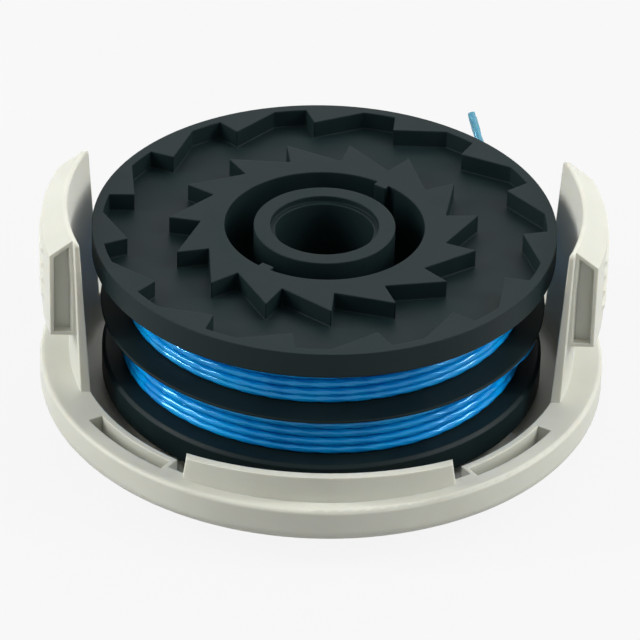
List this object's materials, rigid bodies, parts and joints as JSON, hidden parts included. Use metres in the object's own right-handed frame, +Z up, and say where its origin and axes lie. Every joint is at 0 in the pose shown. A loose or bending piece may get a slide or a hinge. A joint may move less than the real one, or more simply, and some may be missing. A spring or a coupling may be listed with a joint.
{
  "type": "trimmer line spool in its cover",
  "caption": "Wound trimmer line spool with a toothed top cup, seated in a round domed cover that has upright latch arms with thumb boxes.",
  "frame": {"origin": "middle of the flat that the cover's dome stands on, on the spool's axis", "axes": "+Z up along the spool's axis, X across the two latch arms, -Y towards the front low wall"},
  "size_m": [0.1048, 0.1048, 0.0441],
  "materials": {
    "cover_plastic": "satin moulded, pale warm grey",
    "spool_plastic": "satin moulded, black",
    "line_nylon": "glossy twisted nylon, blue"
  },
  "bodies": {
    "cover": {"cover": "cover_plastic"},
    "spool": {"spool": "spool_plastic", "upper_winding": "line_nylon", "lower_winding": "line_nylon", "line_tail": "line_nylon"}
  },
  "joints": [
    {"name": "spool_turn", "type": "hinge", "parent": "cover", "child": "spool", "pos_m": [0, 0, 0.0116], "axis": [0, 0, 1], "range_deg": [-15, 100]}
  ]
}
